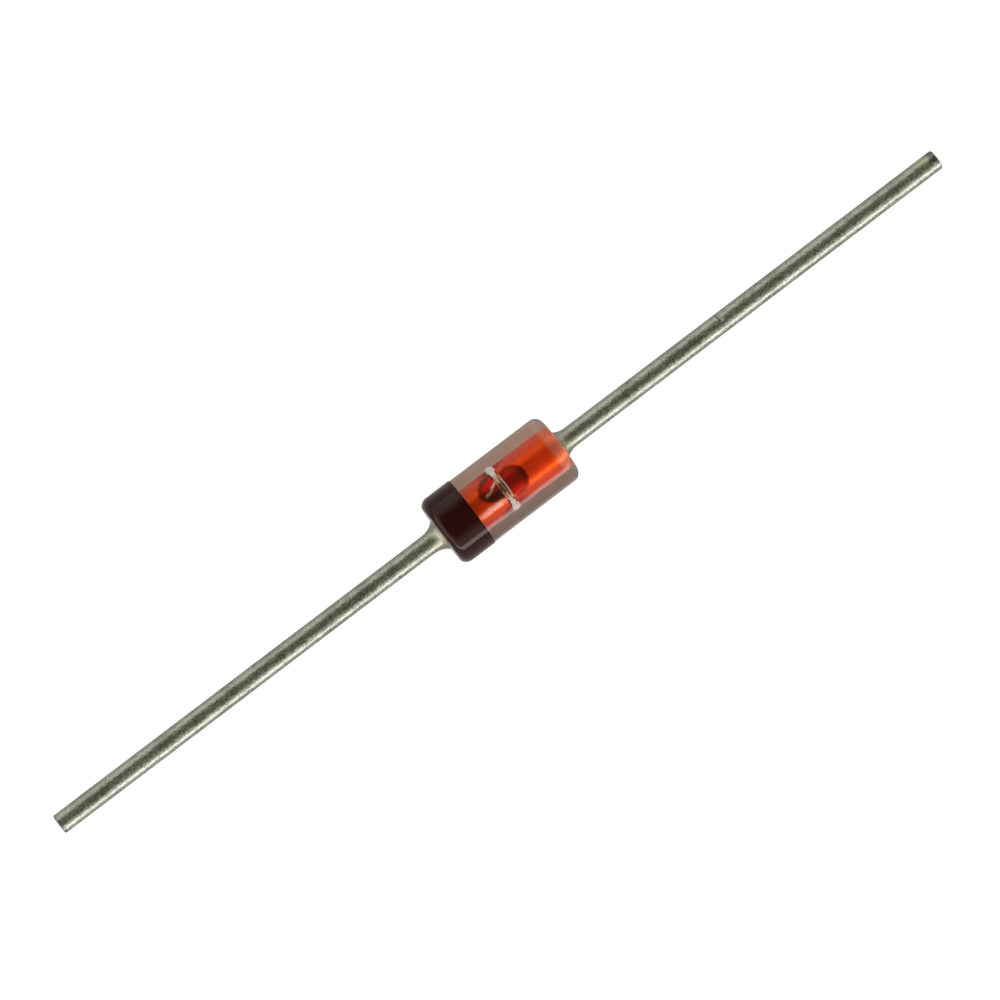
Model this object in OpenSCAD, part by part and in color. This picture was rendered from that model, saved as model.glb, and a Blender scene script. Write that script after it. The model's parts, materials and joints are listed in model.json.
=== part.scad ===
// Axial glass zener diode: two metal slugs sealed in a glass sleeve, with the die clamped between them.
// Millimetres. The leads lie along X, with the cathode at -X, and the origin is the middle of the part.

/* [Glass sleeve] */
// Outside diameter of the glass
glass_d = 1.85; // [1.5:0.05:2.2]
// Length of the glass along the leads
glass_len = 3.62; // [3.0:0.02:4.6]
// Radius of the fire-polished rounding at each end
end_round = 0.24; // [0.1:0.02:0.4]
// Length of the sealed gas space round the die
cavity_len = 0.22; // [0.2:0.02:0.6]
// How far the gas space bulges into the glass at its middle
cavity_rise = 0.04; // [0.02:0.01:0.09]

/* [Slugs] */
// Diameter of the slugs that the glass is fused to
slug_d = 0.75; // [0.6:0.01:0.9]
// Rounding of each slug's inner edge
slug_round = 0.02; // [0.01:0.005:0.05]
// How far the gap between the slugs lies from the sleeve's middle, towards the anode
gap_shift = 0.06; // [-0.2:0.01:0.2]

/* [Die] */
// Side of the square silicon die
die_w = 0.26; // [0.22:0.02:0.46]
// Thickness of the die
die_t = 0.12; // [0.08:0.01:0.24]
// Diameter of the silver contact bump on the die
bump_d = 0.2; // [0.14:0.02:0.3]
// Height of the contact bump
bump_h = 0.04; // [0.03:0.01:0.09]

/* [Leads] */
// Diameter of the tinned lead wire
lead_d = 0.53; // [0.45:0.01:0.56]
// Length of each lead, from the glass to its cut tip
lead_len = 11.6; // [6:0.2:28]
// Rounding of the cut tip's edge
tip_round = 0.04; // [0.01:0.01:0.1]

/* [Welds] */
// How deep each weld bead sits in the mouth of the glass, down to its slug
weld_root = 0.14; // [0.1:0.02:0.3]
// Diameter of the cathode's weld bead at the end of the glass
cathode_weld_d = 0.86; // [0.6:0.02:1.0]
// How far the cathode's weld bead flares along the lead
cathode_flare = 0.5; // [0.4:0.02:0.8]
// Diameter of the anode's weld bead at the end of the glass
anode_weld_d = 0.78; // [0.6:0.02:1.0]
// How far the anode's weld bead flares along the lead
anode_flare = 0.42; // [0.4:0.02:0.8]

/* [Cathode band] */
// How far the painted band reaches from the sleeve's cathode end
band_reach = 0.94; // [0.5:0.02:1.4]
// Bare glass left at the end, before the band begins
band_margin = 0.01; // [0.01:0.01:0.1]
// Thickness of the paint
band_t = 0.02; // [0.01:0.005:0.04]

/* [Hidden] */

// Straight pieces that stand for a quarter turn, and the sides of a full turn
arc_steps = 9;
turn_sides = 96;

glass_r = glass_d / 2;
half_len = glass_len / 2;
slug_r = slug_d / 2;
lead_r = lead_d / 2;
cathode_weld_r = cathode_weld_d / 2;
anode_weld_r = anode_weld_d / 2;
bump_r = bump_d / 2;

// The slugs stand as far apart as the die and its bump are thick
gap = die_t + bump_h;
cathode_face = gap_shift - gap / 2;
anode_face = gap_shift + gap / 2;

// The slugs end inside the sleeve, where the weld beads begin
slug_end = half_len - weld_root;

// The gas space is a barrel: one arc from slug to slug that bulges by cavity_rise
barrel_r = (pow(cavity_len / 2, 2) + pow(cavity_rise, 2)) / (2 * cavity_rise);
barrel_angle = asin(cavity_len / 2 / barrel_r);
barrel_centre = [slug_r + cavity_rise - barrel_r, gap_shift];

// Points [radius, height] of an arc about a centre, between two angles
function arc(centre, radius, from, to) = [
    for (i = [0 : arc_steps])
        let (angle = from + (to - from) * i / arc_steps)
        centre + radius * [cos(angle), sin(angle)]
];

// Outline of the sleeve from one end's flat to the other's, grown outwards by a coat
function sleeve_outline(coat = 0) =
    let (corner = [glass_r - end_round, half_len - end_round], radius = end_round + coat)
    concat(
        arc([corner.x, -corner.y], radius, -90, 0),
        arc(corner, radius, 0, 90)
    );

// Points of a weld bead that falls away from the end of the glass and runs out along the lead
function weld_flare(weld_r, flare) = [
    for (i = [0 : arc_steps])
        let (along = i / arc_steps)
        [lead_r + (weld_r - lead_r) * pow(1 - along, 3), flare * along]
];

// Turns an outline of [radius, height] points about the lead axis, which lies along X
module turned(outline) {
    rotate([0, 90, 0]) rotate_extrude($fn = turn_sides) polygon(outline);
}

// Slug standing on its inner face
module slug(length) {
    turned(concat(
        [[0, 0]],
        arc([slug_r - slug_round, slug_round], slug_round, -90, 0),
        [[slug_r, length], [0, length]]
    ));
}

// Lead with its weld bead, which fills the mouth of the glass and rests on the slug
module lead(weld_r, flare) {
    turned(concat(
        [[0, -weld_root], [slug_r, -weld_root]],
        weld_flare(weld_r, flare),
        arc([lead_r - tip_round, lead_len - tip_round], tip_round, 0, 90),
        [[0, lead_len]]
    ));
}

// Glass tube with rounded ends and tapered mouths, fused to both slugs and swollen round the die
module glass_sleeve() {
    color([0.86, 0.9, 0.88, 0.4])
    turned(concat(
        [[slug_r, -slug_end], [cathode_weld_r, -half_len]],
        sleeve_outline(),
        [[anode_weld_r, half_len], [slug_r, slug_end]],
        arc(barrel_centre, barrel_r, barrel_angle, -barrel_angle)
    ));
}

module cathode_slug() {
    color("#b8340f")
    translate([cathode_face, 0, 0]) mirror([1, 0, 0]) slug(slug_end + cathode_face);
}

module anode_slug() {
    color("#d2460f")
    translate([anode_face, 0, 0]) slug(slug_end - anode_face);
}

// Silicon chip soldered to the cathode slug's inner face
module zener_die() {
    color("dimgray")
    translate([cathode_face, -die_w / 2, -die_w / 2]) cube([die_t, die_w, die_w]);
}

// Plated button on the die, pressed against the anode slug's inner face
module contact_bump() {
    color("gainsboro")
    translate([cathode_face + die_t, 0, 0])
    turned(concat(
        [[0, 0]],
        arc([bump_r - bump_h, 0], bump_h, 0, 90),
        [[0, bump_h]]
    ));
}

module cathode_lead() {
    color("silver")
    translate([-half_len, 0, 0]) mirror([1, 0, 0]) lead(cathode_weld_r, cathode_flare);
}

module anode_lead() {
    color("silver")
    translate([half_len, 0, 0]) lead(anode_weld_r, anode_flare);
}

// Coat of paint on the glass, from just inside the cathode end to band_reach
module cathode_band() {
    color("#1c1a18")
    difference() {
        intersection() {
            turned(concat([[0, -half_len - band_t]], sleeve_outline(band_t), [[0, half_len + band_t]]));
            translate([-half_len + band_margin, -glass_d, -glass_d])
                cube([band_reach - band_margin, 2 * glass_d, 2 * glass_d]);
        }
        turned(concat([[0, -half_len]], sleeve_outline(), [[0, half_len]]));
    }
}

glass_sleeve();
cathode_slug();
anode_slug();
zener_die();
contact_bump();
cathode_lead();
anode_lead();
cathode_band();
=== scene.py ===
"""Looks of an axial glass zener diode.

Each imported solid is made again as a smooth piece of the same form, with a procedural finish.
Lengths are in metres, but the finishes place their noise and marks in millimetres.
"""
import json
import math

import bpy
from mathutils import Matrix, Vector


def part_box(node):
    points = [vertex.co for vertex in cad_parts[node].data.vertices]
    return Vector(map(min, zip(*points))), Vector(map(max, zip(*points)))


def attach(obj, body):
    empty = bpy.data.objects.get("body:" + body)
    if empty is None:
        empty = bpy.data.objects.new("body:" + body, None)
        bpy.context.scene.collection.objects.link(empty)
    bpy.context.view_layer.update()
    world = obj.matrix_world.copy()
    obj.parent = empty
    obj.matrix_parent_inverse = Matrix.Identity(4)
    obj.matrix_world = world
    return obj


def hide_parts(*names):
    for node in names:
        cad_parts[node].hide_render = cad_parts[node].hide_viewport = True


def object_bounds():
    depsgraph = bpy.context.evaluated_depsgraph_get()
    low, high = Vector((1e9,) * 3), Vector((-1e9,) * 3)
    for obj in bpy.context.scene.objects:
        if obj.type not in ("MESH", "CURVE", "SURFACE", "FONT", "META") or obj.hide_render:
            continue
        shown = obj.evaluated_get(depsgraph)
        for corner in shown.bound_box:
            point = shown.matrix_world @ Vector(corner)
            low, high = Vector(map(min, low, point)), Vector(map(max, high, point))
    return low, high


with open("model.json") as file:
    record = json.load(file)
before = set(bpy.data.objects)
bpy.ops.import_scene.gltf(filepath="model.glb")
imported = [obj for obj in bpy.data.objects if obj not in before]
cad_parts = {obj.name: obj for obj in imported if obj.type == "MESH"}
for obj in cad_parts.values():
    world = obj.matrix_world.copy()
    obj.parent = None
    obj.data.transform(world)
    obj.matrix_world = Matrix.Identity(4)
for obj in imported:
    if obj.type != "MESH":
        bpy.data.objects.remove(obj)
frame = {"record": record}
cad_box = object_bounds()

MM = 0.001

# Steps of a full turn and of an arc in the turned pieces, and of the die's eased edges
TURN_STEPS = 128
ARC_STEPS = 14
EASE_STEPS = 2
# Edges sharper than this, in degrees, aren't smoothed
CREASE = 35
# What is closer to the lead axis than this lies on it
ON_AXIS = 1e-6 * MM

# Sizes that the frame's boxes don't show
END_ROUND = 0.24 * MM
CAVITY_LEN = 0.22 * MM
CAVITY_RISE = 0.04 * MM
SLUG_ROUND = 0.02 * MM
DIE_EASE = 0.006 * MM
# The glass overlaps what is fused to it by this much, so that no film of air shows between them
SEAL = 0.006 * MM
# Tool mark on the anode lead: a steep edge, then a slope back to the wire's surface
NICK_X = 6.74 * MM
NICK_EDGE = 0.015 * MM
NICK_SLOPE = 0.16 * MM
NICK_DEPTH = 0.018 * MM
NICK_FACING = math.radians(50)
NICK_SPAN = math.radians(55)
# Steel core of the wire, the copper round it, and how far each blends into the next
CORE_R = 0.19 * MM
COPPER_R = 0.24 * MM
LAYER_BLEND = 0.015 * MM


def radius_of(node):
    """Largest radius of a turned node about the lead axis."""
    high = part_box(node)[1]
    return max(high.y, high.z)


def mount(name):
    """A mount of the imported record, by name."""
    return next(m for m in frame["record"]["mounts"] if m["name"] == name)


half_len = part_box("glass_sleeve")[1].x
glass_r = radius_of("glass_sleeve")
slug_r = radius_of("cathode_slug")
slug_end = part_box("anode_slug")[1].x
cathode_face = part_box("cathode_slug")[1].x
anode_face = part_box("anode_slug")[0].x
gap_middle = (cathode_face + anode_face) / 2
half_gap = (anode_face - cathode_face) / 2
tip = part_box("anode_lead")[1].x
lead_r = mount("anode_lead")["dims"]["r_mm"] * MM
floor_z = cad_box[0].z


# Forms

def arc(centre, radius, start, end):
    """Points (x, r) of an arc about a centre, between two angles in degrees from +X."""
    points = []
    for i in range(ARC_STEPS + 1):
        angle = math.radians(start + (end - start) * i / ARC_STEPS)
        points.append((centre[0] + radius * math.cos(angle), centre[1] + radius * math.sin(angle)))
    return points


def barrel(middle, half, base_r, top_r):
    """Arc from the anode end of the gas space to its cathode end, highest in the middle."""
    rise = top_r - base_r
    radius = (half ** 2 + rise ** 2) / (2 * rise)
    reach = math.degrees(math.asin(half / radius))
    return arc((middle, top_r - radius), radius, 90 - reach, 90 + reach)


def new_object(name, data):
    """Object that holds a mesh, lamp or camera, in the scene."""
    made = bpy.data.objects.new(name, data)
    bpy.context.scene.collection.objects.link(made)
    return made


def new_mesh(name, corners, faces):
    """Mesh object of corners and faces, in the scene."""
    mesh = bpy.data.meshes.new(name)
    mesh.from_pydata(corners, [], faces)
    return new_object(name, mesh)


def lathe(name, outline, closed=False, dent=None):
    """Outline of (x, r) points turned about X. An open outline starts and ends on the axis.

    A dent gives how far the surface is pressed in at a place along X and an angle from +Y towards +Z.
    """
    # The faces look outwards when the outer side of an outline runs towards +X. Closed ones are written so
    if not closed and outline[0][0] > outline[-1][0]:
        outline = outline[::-1]
    corners = []
    rings = []
    for x, r in outline:
        if r < ON_AXIS:
            rings.append([len(corners)])
            corners.append((x, 0, 0))
            continue
        rings.append(list(range(len(corners), len(corners) + TURN_STEPS)))
        for step in range(TURN_STEPS):
            angle = 2 * math.pi * step / TURN_STEPS
            reach = r - dent(x, angle) if dent else r
            corners.append((x, reach * math.cos(angle), reach * math.sin(angle)))
    pairs = list(zip(rings, rings[1:]))
    if closed:
        pairs.append((rings[-1], rings[0]))
    faces = []
    for near, far in pairs:
        for step in range(TURN_STEPS):
            after = (step + 1) % TURN_STEPS
            if len(near) == 1:
                faces.append((near[0], far[after], far[step]))
            elif len(far) == 1:
                faces.append((near[step], near[after], far[0]))
            else:
                faces.append((near[step], near[after], far[after], far[step]))
    piece = new_mesh(name, corners, faces)
    piece.data.shade_smooth()
    piece.data.set_sharp_from_angle(angle=math.radians(CREASE))
    return piece


def dress(piece, node, slot, *finishes):
    """Makes a piece stand for a node, with its finishes. The slot is not used."""
    for finish in finishes:
        piece.data.materials.append(finish)
    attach(piece, "root")
    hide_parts(node)


# Nodes

class Tree:
    """Node tree of a material or a world, with the shader that it ends in."""

    def __init__(self, owner, shader):
        owner.use_nodes = True
        self.owner = owner
        self.tree = owner.node_tree
        self.shader = self.tree.nodes[shader]

    def node(self, kind, **settings):
        """A new node with its settings."""
        made = self.tree.nodes.new(kind)
        for key, value in settings.items():
            setattr(made, key, value)
        return made

    def put(self, socket, value):
        """Links a socket to another one, or sets its number or colour."""
        if isinstance(value, bpy.types.NodeSocket):
            self.tree.links.new(value, socket)
        else:
            socket.default_value = value

    def set(self, **inputs):
        """Sets inputs of the shader, with spaces in their names as underscores."""
        for name, value in inputs.items():
            self.put(self.shader.inputs[name.replace("_", " ")], value)

    def ray(self, kind):
        """1 for a ray of a kind, such as Camera, and 0 for others."""
        return self.node("ShaderNodeLightPath").outputs[f"Is {kind} Ray"]

    def scaled(self, vector, share):
        """A vector or colour times a number."""
        made = self.node("ShaderNodeVectorMath", operation="SCALE")
        self.put(made.inputs[0], vector)
        self.put(made.inputs["Scale"], share)
        return made.outputs[0]

    def millimetres(self):
        """Place on the part, in millimetres."""
        return self.scaled(self.node("ShaderNodeTexCoord").outputs["Object"], 1 / MM)

    def stretched(self, place, x=1.0, y=1.0, z=1.0):
        """Place for a noise that a number below 1 draws out along an axis, and one above 1 squeezes."""
        made = self.node("ShaderNodeVectorMath", operation="MULTIPLY")
        self.put(made.inputs[0], place)
        made.inputs[1].default_value = (x, y, z)
        return made.outputs[0]

    def axis(self, place, name):
        """One coordinate of a place."""
        split = self.node("ShaderNodeSeparateXYZ")
        self.put(split.inputs[0], place)
        return split.outputs[name]

    def maths(self, operation, first, second=0.0):
        """Result of a Math node."""
        made = self.node("ShaderNodeMath", operation=operation)
        self.put(made.inputs[0], first)
        self.put(made.inputs[1], second)
        return made.outputs[0]

    def apart(self, first, second):
        """How far apart two values are."""
        return self.maths("ABSOLUTE", self.maths("SUBTRACT", first, second))

    def ellipse(self, x, y, centre, radii):
        """0 at the middle of an ellipse, and 1 on its edge."""
        sides = []
        for value, middle, radius in zip((x, y), centre, radii):
            share = self.maths("DIVIDE", self.maths("SUBTRACT", value, middle), radius)
            sides.append(self.maths("MULTIPLY", share, share))
        return self.maths("ADD", *sides)

    def noise(self, place, scale, detail=4.0, roughness=0.55):
        """Noise between 0 and 1, with about as many waves per millimetre as its scale."""
        made = self.node("ShaderNodeTexNoise")
        self.put(made.inputs["Vector"], place)
        made.inputs["Scale"].default_value = scale
        made.inputs["Detail"].default_value = detail
        made.inputs["Roughness"].default_value = roughness
        return made.outputs["Fac"]

    def swing(self, noise, width):
        """Noise that swings about 0 over a width."""
        return self.maths("MULTIPLY", self.maths("SUBTRACT", noise, 0.5), width)

    def spread(self, value, low, high, start=0.0, end=1.0):
        """A value from low to high, spread over start to end and held there."""
        made = self.node("ShaderNodeMapRange", interpolation_type="SMOOTHSTEP")
        self.put(made.inputs["Value"], value)
        made.inputs["From Min"].default_value = low
        made.inputs["From Max"].default_value = high
        made.inputs["To Min"].default_value = start
        made.inputs["To Max"].default_value = end
        return made.outputs["Result"]

    def varied(self, noise, start, end):
        """Noise, most of which lies between 0.3 and 0.7, spread over start to end."""
        return self.spread(noise, 0.3, 0.7, start, end)

    def colours(self, factor, first, second):
        """Mix of two colours."""
        made = self.node("ShaderNodeMix", data_type="RGBA")
        self.put(made.inputs["Factor"], factor)
        self.put(made.inputs["A"], first)
        self.put(made.inputs["B"], second)
        return made.outputs["Result"]

    def bump(self, height, depth, normal=None):
        """Normal of a surface whose height runs over a depth in metres."""
        made = self.node("ShaderNodeBump")
        made.inputs["Distance"].default_value = depth
        self.put(made.inputs["Height"], height)
        if normal is not None:
            self.put(made.inputs["Normal"], normal)
        return made.outputs["Normal"]


def new_finish(name):
    """Node tree of a new material."""
    return Tree(bpy.data.materials.new(name), "Principled BSDF")


def rgb(red, green, blue):
    """Opaque colour."""
    return (red, green, blue, 1.0)


# Colours, in pairs where noise runs from one to the other

WHITE = rgb(1.0, 1.0, 1.0)
GLASS = rgb(0.92, 0.835, 0.77)
GLASS_GLOSS = rgb(0.55, 0.52, 0.50)
FUSED_OXIDE = (rgb(0.84, 0.012, 0.0004), rgb(0.97, 0.030, 0.0008))
BARE_OXIDE = (rgb(0.38, 0.003, 0.002), rgb(0.66, 0.007, 0.005))
OXIDE_GLOSS = rgb(1.0, 0.27, 0.03)
PATCH_RIM = rgb(0.19, 0.0015, 0.001)
# Painted highlight towards the slugs' welded ends
END_HIGHLIGHT = rgb(0.98, 0.34, 0.22)
# Painted shadow of the die on the cathode slug
DIE_SHADOW_TINT = rgb(0.052, 0.012, 0.010)
# Pale slanted line and painted highlight streak on the cathode slug
PALE_LINE_AND_HIGHLIGHT = rgb(0.78, 0.54, 0.58)
SLUG_PLATING = rgb(0.86, 0.74, 0.68)
BRIGHT_TIN = (rgb(0.25, 0.26, 0.22), rgb(0.43, 0.44, 0.38))
DULL_TIN = (rgb(0.16, 0.17, 0.135), rgb(0.31, 0.32, 0.27))
WELD_TIN = rgb(0.27, 0.25, 0.165)
BURNISHED_TIN = rgb(0.42, 0.43, 0.41)
# Painted shade in the tool mark's steep edge
NICK_SHADE = rgb(0.05, 0.05, 0.042)
YELLOW_SPOT = rgb(0.40, 0.39, 0.22)
TIP_SMUDGE = rgb(0.10, 0.098, 0.11)
CUT_BURR = rgb(0.11, 0.108, 0.10)
CUT_STEEL = (rgb(0.18, 0.18, 0.18), rgb(0.36, 0.35, 0.34))
CUT_COPPER = (rgb(0.40, 0.15, 0.07), rgb(0.62, 0.27, 0.14))
CUT_TIN = (rgb(0.20, 0.20, 0.17), rgb(0.34, 0.34, 0.30))
BLACK_PAINT = (rgb(0.014, 0.0015, 0.002), rgb(0.026, 0.002, 0.004))
PAINT_GLOSS = rgb(1.0, 0.92, 0.82)
SAWN_SILICON = (rgb(0.08, 0.08, 0.09), rgb(0.22, 0.22, 0.24))
SILVER = (rgb(0.74, 0.73, 0.70), rgb(0.88, 0.87, 0.84))
FLOOR_GREY = rgb(0.52, 0.52, 0.52)
# Painted warm bounce light on the floor under the part
WARM_BOUNCE_GLOW = rgb(0.85, 0.50, 0.33)

# Marks on the slugs, as middle and radii in millimetres: along X from the gap and across it,
# and upright instead of across for those at the sides
CATHODE_PATCH = ((0.0, 0.09), (0.62, 0.29))
ANODE_PATCH = ((0.30, -0.02), (0.38, 0.29))
SIDE_PATCH = ((0.0, 0.0), (0.50, 0.20))
# Painted shadow of the die on the cathode slug
DIE_SHADOW_PATCH = ((-0.22, -0.085), (0.29, 0.085))
# Painted highlight streak on the lower part of the cathode slug
HIGHLIGHT_STREAK = ((-0.50, -0.215), (0.50, 0.065))
# The pale line slants, and is given by its place across at the gap and its slope
PALE_LINE_ACROSS = 0.165
PALE_LINE_SLOPE = 0.32
# Yellow spot on the anode lead, as middle and radii in millimetres: along X from the tip and across
TIP_SPOT = ((-0.36, 0.13), (0.19, 0.17))


# Finishes

def clear_glass():
    """Clear glass with faint lines along the tube."""
    tree = new_finish("clear_glass")
    draw_lines = tree.noise(tree.stretched(tree.millimetres(), x=0.25), scale=3.0, detail=2.0)
    tree.set(
        Base_Color=GLASS,
        Roughness=0.0,
        IOR=1.56,
        Specular_Tint=GLASS_GLOSS,
        Transmission_Weight=1.0,
        Normal=tree.bump(draw_lines, depth=0.002 * MM),
    )
    return tree.owner


def copper_oxide(name, patch, with_shadow_and_highlight):
    """Orange where the glass is fused to the slug, dark red in the oval patches beside the die.

    The patches on the upper and lower side are large and have a dark rim, and those between them are faint.
    """
    tree = new_finish(name)
    place = tree.millimetres()
    x = tree.axis(place, "X")
    mottle = tree.noise(tree.stretched(place, x=0.6), scale=5.0, detail=5.0)
    dents = tree.noise(place, scale=5.0, detail=2.0)
    # Noise bends the coordinates, so that the marks have ragged edges
    bend = tree.swing(tree.noise(place, scale=9.0), width=0.16)
    along = tree.maths("ADD", tree.maths("SUBTRACT", x, gap_middle / MM), bend)
    across = tree.maths("SUBTRACT", tree.axis(place, "Y"), tree.maths("MULTIPLY", bend, 0.6))
    upright = tree.maths("ADD", tree.axis(place, "Z"), bend)
    oval = tree.ellipse(along, across, *patch)
    outside = tree.spread(oval, low=0.80, high=1.20)
    beside = tree.spread(tree.ellipse(along, upright, *SIDE_PATCH), low=0.2, high=1.2)
    fused = tree.colours(mottle, *FUSED_OXIDE)
    bare = tree.colours(mottle, *BARE_OXIDE)
    rimmed = tree.colours(tree.spread(oval, low=0.15, high=0.72), bare, PATCH_RIM)
    colour = tree.colours(outside, rimmed, tree.colours(beside, bare, fused))
    metal = tree.spread(tree.maths("MINIMUM", outside, beside), low=0.0, high=1.0, start=0.88, end=0.2)
    # Painted highlight: both slugs are paler towards their welded ends, where they catch light through the
    # rounded ends of the glass
    from_end = tree.maths("SUBTRACT", tree.maths("ABSOLUTE", x), slug_end / MM)
    end_highlight = tree.spread(tree.maths("ADD", from_end, bend), low=-0.23, high=-0.07, end=0.6)
    colour = tree.colours(end_highlight, colour, END_HIGHLIGHT)
    # Only the cathode slug has the painted shadow, the pale line and the painted highlight
    if with_shadow_and_highlight:
        # A painted shadow of the die, a pale slanted line and a painted highlight streak, all on the upper
        # side
        top = tree.spread(tree.axis(place, "Z"), low=0.0, high=0.05)
        # Painted shadow of the die beside the gap
        shade = tree.spread(tree.ellipse(along, across, *DIE_SHADOW_PATCH), low=0.5, high=1.1, start=0.9, end=0.0)
        shade = tree.maths("MULTIPLY", shade, top)
        colour = tree.colours(shade, colour, DIE_SHADOW_TINT)
        metal = tree.maths("MAXIMUM", metal, shade)
        line = tree.maths("SUBTRACT", across, tree.maths("MULTIPLY", along, PALE_LINE_SLOPE))
        pale_line = tree.spread(tree.apart(line, PALE_LINE_ACROSS), low=0.016, high=0.042, start=0.9, end=0.0)
        pale_line = tree.maths("MULTIPLY", pale_line, tree.spread(along, low=-0.52, high=-0.40))
        # Painted highlight: a pale streak along the lower part of the slug
        highlight_streak = tree.spread(tree.ellipse(along, across, *HIGHLIGHT_STREAK), low=0.0, high=1.0, start=0.85, end=0.0)
        # The pale line and the painted highlight together
        bright = tree.maths("MULTIPLY", tree.maths("MAXIMUM", pale_line, highlight_streak), top)
        colour = tree.colours(bright, colour, PALE_LINE_AND_HIGHLIGHT)
    # The inner face is plated, and the plating ends on its rounded edge
    behind_face = tree.maths("SUBTRACT", tree.apart(x, gap_middle / MM), half_gap / MM)
    edge = SLUG_ROUND / MM
    plated = tree.spread(behind_face, low=0.3 * edge, high=0.8 * edge, start=1.0, end=0.0)
    colour = tree.colours(plated, colour, SLUG_PLATING)
    metal = tree.maths("MAXIMUM", metal, plated)
    tree.set(
        Base_Color=colour,
        Metallic=metal,
        Roughness=tree.varied(mottle, start=0.285, end=0.345),
        IOR=2.8,
        Specular_Tint=OXIDE_GLOSS,
        Normal=tree.bump(dents, depth=0.002 * MM),
    )
    return tree.owner


def tinned_wire():
    """Mottled tin, yellower at the weld beads, with a tool mark and smudges at the tips."""
    tree = new_finish("tinned_wire")
    place = tree.millimetres()
    x = tree.axis(place, "X")
    y = tree.axis(place, "Y")
    upper = tree.spread(y, low=-0.07, high=0.0)
    drawn = tree.noise(tree.stretched(place, x=0.12), scale=14.0)
    mottle = tree.noise(place, scale=2.2, detail=5.0, roughness=0.65)
    lumps = tree.noise(place, scale=7.0, detail=3.0)
    grain = tree.noise(place, scale=22.0, roughness=0.6)
    speckle = tree.spread(grain, low=0.36, high=0.64)
    bright = tree.colours(speckle, *BRIGHT_TIN)
    dull = tree.colours(speckle, *DULL_TIN)
    colour = tree.colours(tree.spread(mottle, low=0.42, high=0.68), bright, dull)
    off_glass = tree.maths("SUBTRACT", tree.maths("ABSOLUTE", x), half_len / MM)
    weld = tree.spread(off_glass, low=0.12, high=0.55, start=0.6, end=0.0)
    colour = tree.colours(weld, colour, WELD_TIN)
    # Tool mark: a burnished slope, and painted shade in its steep edge
    past = tree.maths("SUBTRACT", x, NICK_X / MM)
    begun = tree.spread(past, low=0.0, high=0.04)
    fading = tree.spread(past, low=0.08, high=0.18, start=0.7, end=0.0)
    scuff = tree.maths("MULTIPLY", tree.maths("MULTIPLY", begun, fading), upper)
    colour = tree.colours(scuff, colour, BURNISHED_TIN)
    # Painted shade along the mark's steep edge, on the upper side
    edge = tree.spread(tree.maths("ABSOLUTE", past), low=0.010, high=0.036, start=0.55, end=0.0)
    colour = tree.colours(tree.maths("MULTIPLY", edge, upper), colour, NICK_SHADE)
    # Anode tip: a yellow spot where the copper is nearly bare, then dark grey. Cathode tip: a dark burr
    ragged = tree.maths("ADD", x, tree.swing(lumps, width=0.25))
    from_anode_tip = tree.maths("SUBTRACT", ragged, tip / MM)
    from_cathode_tip = tree.maths("ADD", ragged, tip / MM)
    spot = tree.spread(tree.ellipse(from_anode_tip, y, *TIP_SPOT), low=0.0, high=1.1, start=0.55, end=0.0)
    colour = tree.colours(spot, colour, YELLOW_SPOT)
    smudge = tree.spread(from_anode_tip, low=-0.26, high=-0.14, end=0.8)
    colour = tree.colours(tree.maths("MULTIPLY", smudge, upper), colour, TIP_SMUDGE)
    burr = tree.spread(from_cathode_tip, low=0.02, high=0.09, start=0.6, end=0.0)
    colour = tree.colours(burr, colour, CUT_BURR)
    normal = tree.bump(drawn, depth=0.002 * MM)
    normal = tree.bump(grain, depth=0.003 * MM, normal=normal)
    normal = tree.bump(lumps, depth=0.008 * MM, normal=normal)
    tree.set(
        Base_Color=colour,
        Metallic=1.0,
        Roughness=tree.maths("MAXIMUM", tree.varied(grain, start=0.26, end=0.42), scuff),
        Normal=normal,
    )
    return tree.owner


def cut_wire():
    """Sheared end of a lead: a steel core in a ring of copper, with the tin round its rim."""
    tree = new_finish("cut_wire")
    place = tree.millimetres()
    shear = tree.noise(tree.stretched(place, y=12.0, z=1.5), scale=4.0)
    grain = tree.noise(place, scale=30.0, detail=3.0)
    off_axis = tree.ellipse(tree.axis(place, "Y"), tree.axis(place, "Z"), (0.0, 0.0), (1.0, 1.0))
    # The grain makes the borders between the metals ragged
    off_axis = tree.maths("ADD", tree.maths("SQRT", off_axis), tree.maths("MULTIPLY", grain, 0.02))
    past_core = tree.spread(off_axis, low=CORE_R / MM, high=(CORE_R + LAYER_BLEND) / MM)
    past_copper = tree.spread(off_axis, low=COPPER_R / MM, high=(COPPER_R + LAYER_BLEND) / MM)
    colour = tree.colours(past_core, tree.colours(shear, *CUT_STEEL), tree.colours(shear, *CUT_COPPER))
    colour = tree.colours(past_copper, colour, tree.colours(grain, *CUT_TIN))
    tree.set(
        Base_Color=colour,
        Metallic=1.0,
        Roughness=tree.varied(shear, start=0.3, end=0.5),
        Normal=tree.bump(shear, depth=0.006 * MM),
    )
    return tree.owner


def band_paint():
    """Glossy black paint with a faint red cast and a little orange peel."""
    tree = new_finish("band_paint")
    place = tree.millimetres()
    cloud = tree.noise(place, scale=4.0)
    peel = tree.noise(place, scale=18.0, detail=2.0)
    tree.set(
        Base_Color=tree.colours(cloud, *BLACK_PAINT),
        Roughness=tree.varied(cloud, start=0.03, end=0.07),
        Specular_IOR_Level=0.21,
        Specular_Tint=PAINT_GLOSS,
        Normal=tree.bump(peel, depth=0.001 * MM),
    )
    return tree.owner


def silicon():
    """Dark silicon with saw marks round its sides."""
    tree = new_finish("silicon")
    saw = tree.noise(tree.stretched(tree.millimetres(), x=8.0), scale=6.0, detail=3.0)
    tree.set(
        Base_Color=tree.colours(saw, *SAWN_SILICON),
        Metallic=0.8,
        Roughness=tree.varied(saw, start=0.2, end=0.45),
        Normal=tree.bump(saw, depth=0.001 * MM),
    )
    return tree.owner


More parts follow.
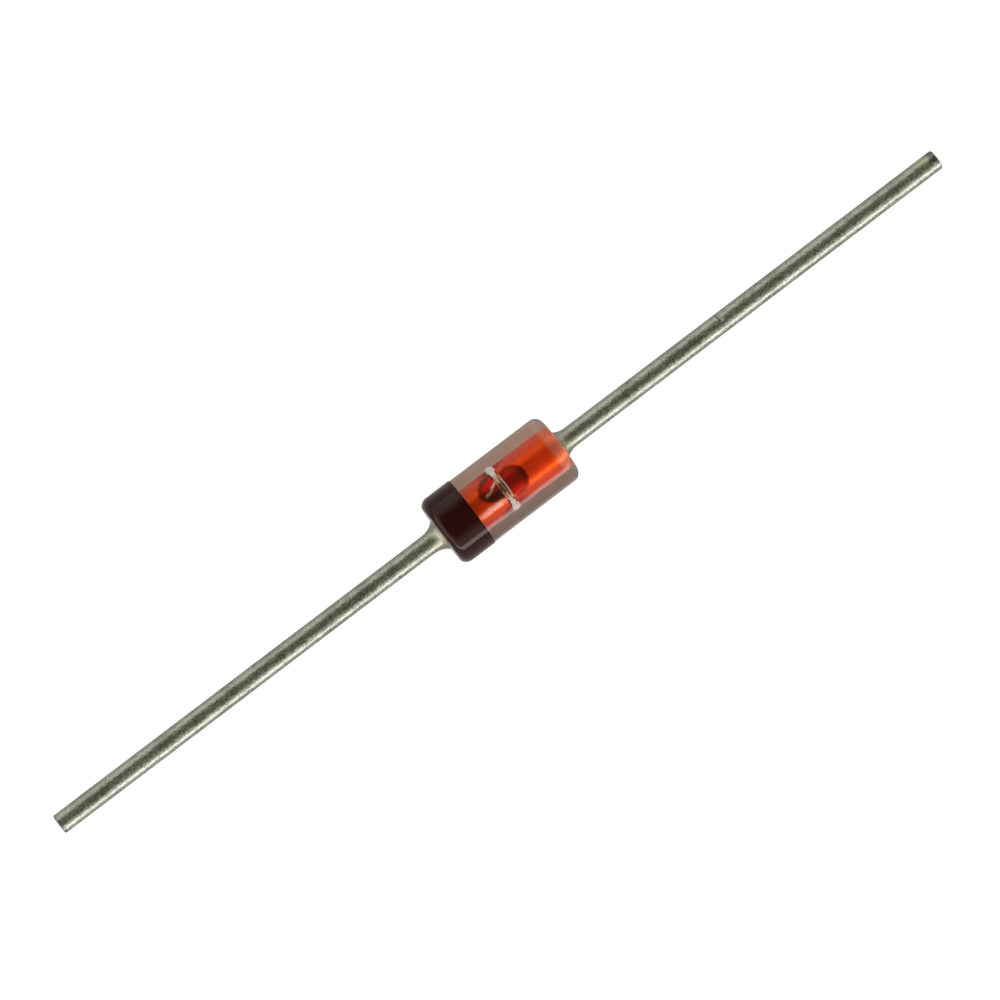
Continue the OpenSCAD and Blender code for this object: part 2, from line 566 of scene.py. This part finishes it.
def plated_silver():
    """Silver with the fine grain of plating."""
    tree = new_finish("plated_silver")
    grain = tree.noise(tree.millimetres(), scale=60.0, detail=3.0)
    tree.set(
        Base_Color=tree.colours(grain, *SILVER),
        Metallic=1.0,
        Roughness=tree.varied(grain, start=0.2, end=0.4),
        Normal=tree.bump(grain, depth=0.001 * MM),
    )
    return tree.owner


# Pieces

def make_sleeve():
    """Glass tube with rounded ends, mouths that hold the weld beads, and the gas space round the die."""
    bore_r = slug_r - SEAL
    corner_x = half_len - END_ROUND
    corner_r = glass_r - END_ROUND
    outline = [(-slug_end, bore_r), (-half_len, radius_of("cathode_lead") - SEAL)]
    outline += arc((-corner_x, corner_r), END_ROUND, 180, 90)
    outline += arc((corner_x, corner_r), END_ROUND, 90, 0)
    outline += [(half_len, radius_of("anode_lead") - SEAL), (slug_end, bore_r)]
    outline += barrel(gap_middle, CAVITY_LEN / 2, bore_r, slug_r + CAVITY_RISE)
    dress(lathe("sleeve", outline, closed=True), "glass_sleeve", "glass", clear_glass())


def make_slug(name, node, face, end, finish):
    """Slug from its rounded inner face to its welded end."""
    way = math.copysign(1, end)
    rounded = arc((face + way * SLUG_ROUND, slug_r - SLUG_ROUND), SLUG_ROUND, 90 + way * 90, 90)
    outline = [(face, 0)] + rounded + [(end, slug_r), (end, 0)]
    dress(lathe(name, outline), node, "slug", finish)


def nick(x, angle):
    """How far the tool mark presses in the anode lead's surface."""
    past = x - NICK_X
    share = 1 + past / NICK_EDGE if past < 0 else 1 - past / NICK_SLOPE
    turn = abs(math.remainder(angle - NICK_FACING, 2 * math.pi)) / NICK_SPAN
    if share <= 0 or turn >= 1:
        return 0.0
    return NICK_DEPTH * share * math.cos(turn * math.pi / 2)


def make_lead(name, node, dent, *finishes):
    """Lead from its weld bead on the slug to its cut tip, whose end face has a finish of its own."""
    way = math.copysign(1, mount(node)["pos_m"][0])
    wall_middle = abs(mount(node)["pos_m"][0])
    wall_half = mount(node)["dims"]["length_mm"] * MM / 2
    flare = wall_middle - wall_half - half_len
    tip_round = tip - wall_middle - wall_half
    weld_r = radius_of(node)
    outline = [(slug_end, 0), (slug_end, slug_r)]
    # The weld bead runs out along the lead in a cubic curve
    for i in range(ARC_STEPS + 1):
        along = i / ARC_STEPS
        outline.append((half_len + flare * along, lead_r + (weld_r - lead_r) * (1 - along) ** 3))
    if dent:
        steps = (-NICK_EDGE, -NICK_EDGE / 2, 0.0, NICK_SLOPE / 3, 2 * NICK_SLOPE / 3, NICK_SLOPE)
        # Plain rings on both sides keep the mark's shading off the wire beyond it
        for past in (-2 * NICK_EDGE, *steps, NICK_SLOPE + NICK_EDGE):
            outline.append((NICK_X + past, lead_r))
    outline += arc((tip - tip_round, lead_r - tip_round), tip_round, 90, 0)
    outline.append((tip, 0))
    lead = lathe(name, [(way * x, r) for x, r in outline], dent=dent)
    dress(lead, node, "tinned_lead", *finishes)
    # The end face takes the second finish
    for face in lead.data.polygons:
        if abs(face.center.x) > tip - tip_round / 2:
            face.material_index = 1


def make_band():
    """Coat of paint over the cathode end of the glass."""
    low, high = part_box("cathode_band")
    band_r = radius_of("cathode_band")
    centre = (-half_len + END_ROUND, glass_r - END_ROUND)
    coated = END_ROUND + band_r - glass_r
    sunk = END_ROUND - SEAL
    outer_start = math.degrees(math.acos((low.x - centre[0]) / coated))
    inner_start = math.degrees(math.acos((low.x - centre[0]) / sunk))
    outline = arc(centre, coated, outer_start, 90) + [(high.x, band_r)]
    outline += [(high.x, glass_r - SEAL)] + arc(centre, sunk, 90, inner_start)
    dress(lathe("band", outline, closed=True), "cathode_band", "band_paint", band_paint())


def make_die():
    """Square chip with its sawn edges eased."""
    low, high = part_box("zener_die")
    corners = [(x, y, z) for x in (low.x, high.x) for y in (low.y, high.y) for z in (low.z, high.z)]
    sides = [(0, 1, 3, 2), (4, 6, 7, 5), (0, 4, 5, 1), (2, 3, 7, 6), (0, 2, 6, 4), (1, 5, 7, 3)]
    die = new_mesh("die", corners, sides)
    bevel = die.modifiers.new("eased", "BEVEL")
    bevel.width = DIE_EASE
    bevel.segments = EASE_STEPS
    dress(die, "zener_die", "silicon", silicon())


def make_bump():
    """Silver button pressed against the anode slug."""
    low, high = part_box("contact_bump")
    rise = high.x - low.x
    rounded = arc((low.x, radius_of("contact_bump") - rise), rise, 90, 0)
    outline = [(low.x, 0)] + rounded + [(high.x, 0)]
    dress(lathe("bump", outline), "contact_bump", "silver", plated_silver())


tin = tinned_wire()
cut = cut_wire()
cathode_oxide = copper_oxide("cathode_oxide", CATHODE_PATCH, with_shadow_and_highlight=True)
anode_oxide = copper_oxide("anode_oxide", ANODE_PATCH, with_shadow_and_highlight=False)
make_sleeve()
make_slug("slug_cathode", "cathode_slug", cathode_face, -slug_end, cathode_oxide)
make_slug("slug_anode", "anode_slug", anode_face, slug_end, anode_oxide)
make_lead("lead_cathode", "cathode_lead", None, tin, cut)
make_lead("lead_anode", "anode_lead", nick, tin, cut)
make_band()
make_die()
make_bump()


# Stage

# Half the side of the floor
FLOOR_HALF = 2.0
# Glow of the floor as the camera sees it, as the wire mirrors it and as the glass refracts it
SEEN_GLOW = 0.80
MIRRORED_GLOW = 0.27
REFRACTED_GLOW = 0.20
# Level of the room by height, from 0 at the horizon to 1 straight overhead
ROOM_LEVELS = (
    (0.0, rgb(0.50, 0.50, 0.48)),
    (0.14, rgb(1.32, 1.32, 1.27)),
    (0.55, rgb(1.27, 1.27, 1.19)),
    (0.84, rgb(0.165, 0.175, 0.11)),
)
# Share of that level past the anode
ANODE_SHARE = 0.55
# Side of the picture, its scale, and how far the part's middle lies right of and above the picture's middle
FRAME_PX = 1000
PX_PER_MM = 41.12
MIDDLE_RIGHT_PX = 0.4
MIDDLE_UP_PX = 10.0
# Place and lens of the camera
AZIMUTH = math.radians(-37.30)
ELEVATION = math.radians(85.0)
LENS_MM = 180.0
SENSOR_MM = 36.0
# The camera sees from its distance over this number to its distance times this number
CLIP_RATIO = 100


def make_floor():
    """Pale floor that the part lies on. It looks white, and keeps the part's shadow."""
    sides = (-FLOOR_HALF, FLOOR_HALF)
    floor = new_mesh("floor", [(x, y, floor_z) for y in sides for x in sides], [(0, 1, 3, 2)])
    tree = new_finish("pale_floor")
    # Distance in millimetres from the line on which the part touches the floor
    off_line = tree.maths("ABSOLUTE", tree.axis(tree.millimetres(), "Y"))
    # Painted contact shadow: the glow has no shadow of its own, so for the glass it fades at that line
    refracted = tree.spread(off_line, low=0.02, high=0.12, end=REFRACTED_GLOW)
    # A sharp refraction counts as a glossy ray too, so the glass's glow takes the place of the mirrored one
    mirrored = tree.maths("MULTIPLY", tree.ray("Glossy"), MIRRORED_GLOW)
    excess = tree.maths("SUBTRACT", MIRRORED_GLOW, refracted)
    less = tree.maths("MULTIPLY", tree.ray("Transmission"), excess)
    seen = tree.maths("MULTIPLY", tree.ray("Camera"), SEEN_GLOW)
    glow = tree.maths("MAXIMUM", seen, tree.maths("SUBTRACT", mirrored, less))
    # Painted bounce light: the slugs warm the light under the part, so the glass shows the floor there in a
    # warm tint
    under_part = tree.spread(off_line, low=0.2, high=0.8, start=1.0, end=0.0)
    warmth = tree.maths("MULTIPLY", tree.ray("Transmission"), under_part)
    tree.set(
        Base_Color=FLOOR_GREY,
        Roughness=1.0,
        Specular_IOR_Level=0.0,
        Emission_Color=tree.colours(warmth, WHITE, WARM_BOUNCE_GLOW),
        Emission_Strength=glow,
    )
    floor.data.materials.append(tree.owner)


def look_against(thing, outwards):
    """Turns a lamp or camera to look against a direction."""
    thing.rotation_mode = "QUATERNION"
    thing.rotation_quaternion = outwards.to_track_quat("Z", "Y")


def make_lamp(name, place, size, radiance):
    """Soft box that faces the part, as bright as a surface of that radiance."""
    data = bpy.data.lights.new(name, "AREA")
    data.shape = "RECTANGLE"
    data.size = size[0]
    data.size_y = size[1]
    data.energy = radiance * math.pi * size[0] * size[1]
    lamp = new_object(name, data)
    lamp.location = place
    look_against(lamp, Vector(place))


def make_world():
    """Room that is bright above the horizon, dim overhead and past the anode, and white to the camera."""
    tree = Tree(bpy.data.worlds.new("room"), "Background")
    bpy.context.scene.world = tree.owner
    outwards = tree.node("ShaderNodeTexCoord").outputs["Generated"]
    levels = tree.node("ShaderNodeValToRGB")
    stops = levels.color_ramp.elements
    lowest, *between, highest = ROOM_LEVELS
    stops[0].position, stops[0].color = lowest
    stops[1].position, stops[1].color = highest
    for height, level in between:
        stops.new(height).color = level
    tree.put(levels.inputs["Fac"], tree.axis(outwards, "Z"))
    share = tree.spread(tree.axis(outwards, "X"), low=0.72, high=0.92, start=1.0, end=ANODE_SHARE)
    room = tree.scaled(levels.outputs["Color"], share)
    tree.set(Color=tree.colours(tree.ray("Camera"), room, WHITE))


def make_camera():
    """Long lens that looks down on the part, with the anode up and to the right."""
    back = Vector((
        math.sin(AZIMUTH) * math.cos(ELEVATION),
        -math.cos(AZIMUTH) * math.cos(ELEVATION),
        math.sin(ELEVATION),
    ))
    right = Vector((math.cos(AZIMUTH), math.sin(AZIMUTH), 0.0))
    up = back.cross(right)
    distance = FRAME_PX / PX_PER_MM * MM * LENS_MM / SENSOR_MM
    data = bpy.data.cameras.new("camera")
    data.lens = LENS_MM
    data.sensor_width = SENSOR_MM
    data.clip_start = distance / CLIP_RATIO
    data.clip_end = distance * CLIP_RATIO
    camera = new_object("camera", data)
    camera.location = back * distance - (right * MIDDLE_RIGHT_PX + up * MIDDLE_UP_PX) / PX_PER_MM * MM
    look_against(camera, back)
    bpy.context.scene.camera = camera


make_floor()
make_lamp("front_strip", place=(0.0, -0.12, 0.022), size=(0.30, 0.030), radiance=4.5)
make_lamp("cathode_strip", place=(-0.135, 0.0, 0.050), size=(0.26, 0.034), radiance=2.1)
make_world()
make_camera()
bpy.context.scene.view_settings.view_transform = "Standard"
